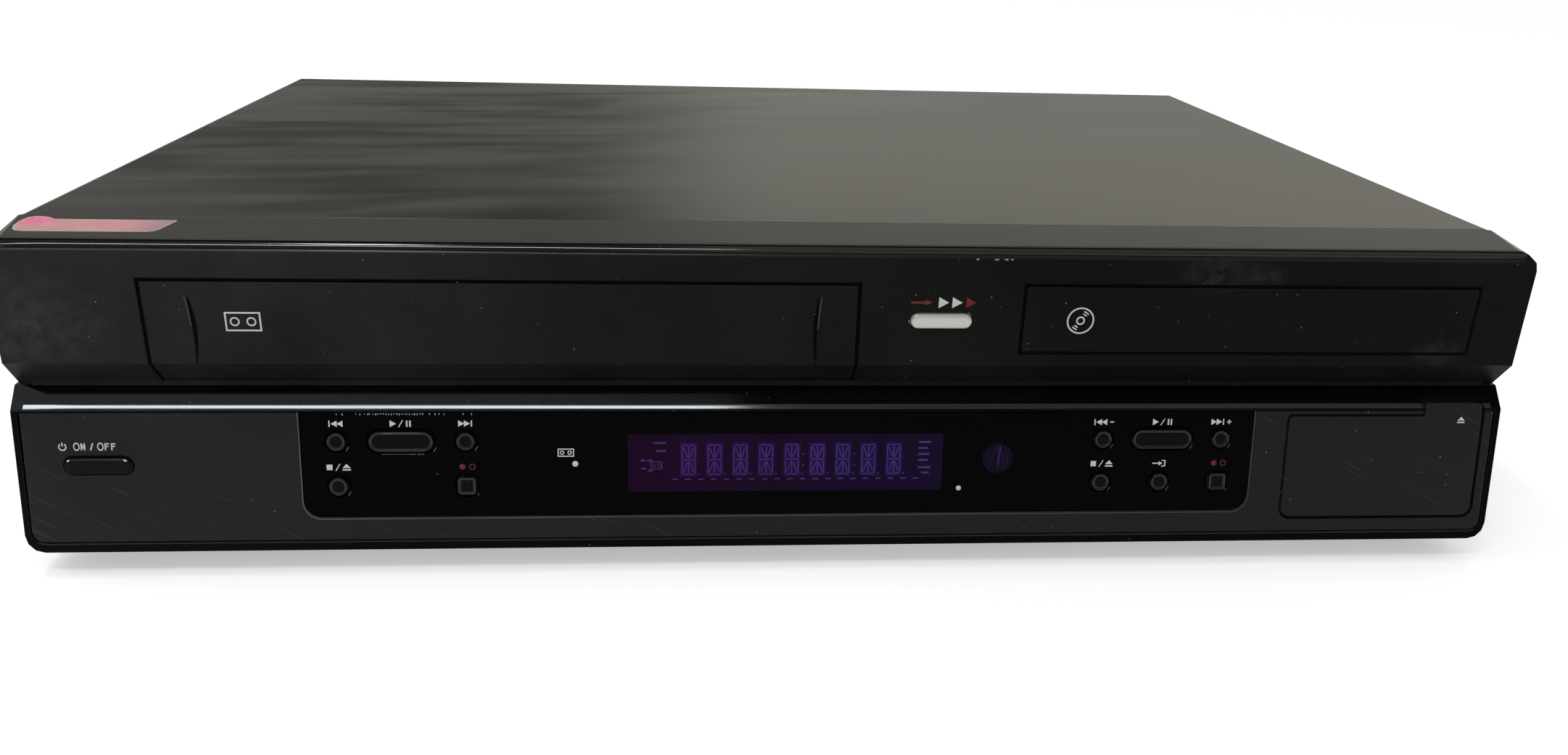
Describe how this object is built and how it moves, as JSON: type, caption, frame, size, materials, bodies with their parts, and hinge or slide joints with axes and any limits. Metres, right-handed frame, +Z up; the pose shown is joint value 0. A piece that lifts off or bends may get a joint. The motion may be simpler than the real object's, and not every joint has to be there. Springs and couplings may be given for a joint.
{
  "type": "disc and video cassette player",
  "caption": "Black full-width combination player: cassette flap and disc tray over a leaning lower front with smoked display window, buttons and a flip door.",
  "frame": {"origin": "on the floor under the middle of the bounding box", "axes": "+X to the right seen from the front, +Y to the back, +Z up"},
  "size_m": [0.43, 0.3078, 0.097],
  "materials": {
    "gloss_moulding": "gloss",
    "satin_moulding": "satin",
    "matte_moulding": "matte",
    "smoked_window": "polished",
    "painted_steel": "satin",
    "zinc_steel": "satin",
    "silver_button": "satin",
    "rubber": "matte",
    "grey_plastic": "satin",
    "white_plastic": "satin",
    "bright_metal": "polished",
    "drum_metal": "polished",
    "circuit_board": "satin",
    "tube_glass": "polished"
  },
  "bodies": {
    "chassis": {"front_bezel": "gloss_moulding", "upper_fascia": "satin_moulding", "lower_fascia": "matte_moulding", "display_window": "smoked_window", "top_cover": "painted_steel", "base_pan": "zinc_steel", "rear_panel": "zinc_steel", "deck_plate": "zinc_steel", "clamp_bridge": "zinc_steel", "foot_front_left": "rubber", "foot_front_right": "rubber", "foot_back_left": "rubber", "foot_back_right": "rubber", "loader_frame": "grey_plastic", "rear_jacks": "grey_plastic", "front_jacks": "grey_plastic", "power_inlet": "grey_plastic", "fan_frame": "grey_plastic", "loading_motor": "bright_metal", "tray_motor": "bright_metal", "tuner": "bright_metal", "drum_base": "drum_metal", "main_board": "circuit_board", "power_board": "circuit_board", "front_board": "circuit_board", "display_tube": "tube_glass"},
    "disc_tray": {"disc_tray": "grey_plastic", "tray_fascia": "satin_moulding"},
    "cassette_door": {"cassette_door": "satin_moulding"},
    "cassette_carriage": {"cassette_carriage": "zinc_steel"},
    "cassette_holder": {"cassette_holder": "zinc_steel"},
    "loading_gear": {"loading_gear": "white_plastic"},
    "drum_rotor": {"drum_rotor": "drum_metal"},
    "capstan": {"capstan": "bright_metal"},
    "pinch_arm": {"pinch_arm": "zinc_steel"},
    "pinch_roller": {"pinch_roller": "rubber"},
    "supply_reel": {"supply_reel": "white_plastic"},
    "takeup_reel": {"takeup_reel": "white_plastic"},
    "tape_guide_left": {"tape_guide_left": "bright_metal"},
    "tape_guide_right": {"tape_guide_right": "bright_metal"},
    "tray_pinion": {"tray_pinion": "white_plastic"},
    "disc_clamper": {"disc_clamper": "white_plastic"},
    "traverse": {"traverse": "grey_plastic"},
    "turntable": {"turntable": "bright_metal"},
    "pickup_sled": {"pickup_sled": "grey_plastic"},
    "jack_door": {"jack_door": "matte_moulding"},
    "fan_rotor": {"fan_rotor": "grey_plastic"},
    "copy_button": {"copy_button": "silver_button"},
    "power_button": {"power_button": "matte_moulding"},
    "vcr_skip_back_button": {"vcr_skip_back_button": "gloss_moulding"},
    "vcr_play_button": {"vcr_play_button": "gloss_moulding"},
    "vcr_skip_forward_button": {"vcr_skip_forward_button": "gloss_moulding"},
    "vcr_stop_button": {"vcr_stop_button": "gloss_moulding"},
    "vcr_record_button": {"vcr_record_button": "gloss_moulding"},
    "dvd_channel_down_button": {"dvd_channel_down_button": "gloss_moulding"},
    "dvd_play_button": {"dvd_play_button": "gloss_moulding"},
    "dvd_channel_up_button": {"dvd_channel_up_button": "gloss_moulding"},
    "dvd_stop_button": {"dvd_stop_button": "gloss_moulding"},
    "dvd_input_button": {"dvd_input_button": "gloss_moulding"},
    "dvd_record_button": {"dvd_record_button": "gloss_moulding"}
  },
  "joints": [
    {"name": "cassette_door_hinge", "type": "hinge", "parent": "chassis", "child": "cassette_door", "pos_m": [-0.0781, -0.14683, 0.0844], "axis": [1, 0, 0], "range_deg": [0, 90], "stiffness_Nm_per_rad": 0.004, "springref_deg": -22.92},
    {"name": "carriage_slide", "type": "slide", "parent": "chassis", "child": "cassette_carriage", "axis": [0, 1, 0], "range_m": [0, 0.055]},
    {"name": "holder_lowering", "type": "slide", "parent": "cassette_carriage", "child": "cassette_holder", "axis": [0, 0, -1], "range_m": [0, 0.0235]},
    {"name": "loading_gear_turn", "type": "hinge", "parent": "chassis", "child": "loading_gear", "pos_m": [0.033, -0.05803, 0.044], "axis": [0, 0, 1], "range_deg": [-360, 0]},
    {"name": "drum_spin", "type": "hinge", "parent": "chassis", "child": "drum_rotor", "pos_m": [-0.0781, 0.02347, 0.055], "axis": [0, 0.1045, 0.9945], "continuous": true},
    {"name": "capstan_spin", "type": "hinge", "parent": "chassis", "child": "capstan", "pos_m": [-0.024, 0.00198, 0.021], "axis": [0, 0, 1], "continuous": true},
    {"name": "pinch_arm_swing", "type": "hinge", "parent": "chassis", "child": "pinch_arm", "pos_m": [0.004, 0.00997, 0.04], "axis": [0, 0, 1], "range_deg": [-24, 0], "stiffness_Nm_per_rad": 0.01, "springref_deg": 11.46},
    {"name": "pinch_roller_spin", "type": "hinge", "parent": "pinch_arm", "child": "pinch_roller", "pos_m": [-0.01, -0.01202, 0.0423], "axis": [0, 0, 1], "continuous": true},
    {"name": "supply_reel_spin", "type": "hinge", "parent": "chassis", "child": "supply_reel", "pos_m": [-0.1241, -0.06603, 0.0322], "axis": [0, 0, 1], "continuous": true},
    {"name": "takeup_reel_spin", "type": "hinge", "parent": "chassis", "child": "takeup_reel", "pos_m": [-0.0321, -0.06603, 0.0322], "axis": [0, 0, 1], "continuous": true},
    {"name": "tape_guide_left_slide", "type": "slide", "parent": "chassis", "child": "tape_guide_left", "axis": [-0.4315, 0.9021, 0], "range_m": [0, 0.0509]},
    {"name": "tape_guide_right_slide", "type": "slide", "parent": "chassis", "child": "tape_guide_right", "axis": [0.4315, 0.9021, 0], "range_m": [0, 0.0509]},
    {"name": "tray_slide", "type": "slide", "parent": "chassis", "child": "disc_tray", "axis": [0, -1, 0], "range_m": [0, 0.138]},
    {"name": "tray_pinion_turn", "type": "hinge", "parent": "chassis", "child": "tray_pinion", "pos_m": [0.08875, -0.11002, 0.067], "axis": [0, 0, 1], "range_deg": [0, 640]},
    {"name": "clamper_spin", "type": "hinge", "parent": "chassis", "child": "disc_clamper", "pos_m": [0.13025, -0.08002, 0.0858], "axis": [0, 0, 1], "continuous": true},
    {"name": "traverse_lift", "type": "hinge", "parent": "chassis", "child": "traverse", "pos_m": [0.13025, -0.00202, 0.059], "axis": [-1, 0, 0], "range_deg": [0, 5]},
    {"name": "turntable_spin", "type": "hinge", "parent": "traverse", "child": "turntable", "pos_m": [0.13025, -0.07973, 0.0522], "axis": [0, -0.0872, 0.9962], "continuous": true},
    {"name": "sled_slide", "type": "slide", "parent": "traverse", "child": "pickup_sled", "axis": [0, 0.9962, 0.0872], "range_m": [0, 0.032]},
    {"name": "jack_door_hinge", "type": "hinge", "parent": "chassis", "child": "jack_door", "pos_m": [0.1786, -0.1508, 0.01823], "axis": [1, 0, 0], "range_deg": [0, 95]},
    {"name": "fan_spin", "type": "hinge", "parent": "chassis", "child": "fan_rotor", "pos_m": [0.172, 0.13508, 0.064], "axis": [0, 1, 0], "continuous": true},
    {"name": "copy_press", "type": "slide", "parent": "chassis", "child": "copy_button", "axis": [0, 1, 0], "range_m": [0, 0.0008], "stiffness_N_per_m": 300},
    {"name": "power_press", "type": "slide", "parent": "chassis", "child": "power_button", "axis": [0, 0.9856, -0.1693], "range_m": [0, 0.0007], "stiffness_N_per_m": 300},
    {"name": "vcr_skip_back_press", "type": "slide", "parent": "chassis", "child": "vcr_skip_back_button", "axis": [0, 0.9856, -0.1693], "range_m": [0, 0.0007], "stiffness_N_per_m": 300},
    {"name": "vcr_play_press", "type": "slide", "parent": "chassis", "child": "vcr_play_button", "axis": [0, 0.9856, -0.1693], "range_m": [0, 0.0007], "stiffness_N_per_m": 300},
    {"name": "vcr_skip_forward_press", "type": "slide", "parent": "chassis", "child": "vcr_skip_forward_button", "axis": [0, 0.9856, -0.1693], "range_m": [0, 0.0007], "stiffness_N_per_m": 300},
    {"name": "vcr_stop_press", "type": "slide", "parent": "chassis", "child": "vcr_stop_button", "axis": [0, 0.9856, -0.1693], "range_m": [0, 0.0007], "stiffness_N_per_m": 300},
    {"name": "vcr_record_press", "type": "slide", "parent": "chassis", "child": "vcr_record_button", "axis": [0, 0.9856, -0.1693], "range_m": [0, 0.0007], "stiffness_N_per_m": 300},
    {"name": "dvd_channel_down_press", "type": "slide", "parent": "chassis", "child": "dvd_channel_down_button", "axis": [0, 0.9856, -0.1693], "range_m": [0, 0.0007], "stiffness_N_per_m": 300},
    {"name": "dvd_play_press", "type": "slide", "parent": "chassis", "child": "dvd_play_button", "axis": [0, 0.9856, -0.1693], "range_m": [0, 0.0007], "stiffness_N_per_m": 300},
    {"name": "dvd_channel_up_press", "type": "slide", "parent": "chassis", "child": "dvd_channel_up_button", "axis": [0, 0.9856, -0.1693], "range_m": [0, 0.0007], "stiffness_N_per_m": 300},
    {"name": "dvd_stop_press", "type": "slide", "parent": "chassis", "child": "dvd_stop_button", "axis": [0, 0.9856, -0.1693], "range_m": [0, 0.0007], "stiffness_N_per_m": 300},
    {"name": "dvd_input_press", "type": "slide", "parent": "chassis", "child": "dvd_input_button", "axis": [0, 0.9856, -0.1693], "range_m": [0, 0.0007], "stiffness_N_per_m": 300},
    {"name": "dvd_record_press", "type": "slide", "parent": "chassis", "child": "dvd_record_button", "axis": [0, 0.9856, -0.1693], "range_m": [0, 0.0007], "stiffness_N_per_m": 300}
  ],
  "couplings": [
    {"joint": "loading_gear_turn", "follows": "carriage_slide", "rad_per_m": -111.11},
    {"joint": "tray_pinion_turn", "follows": "tray_slide", "rad_per_m": 80},
    {"joint": "tape_guide_right_slide", "follows": "tape_guide_left_slide", "ratio": 1}
  ]
}
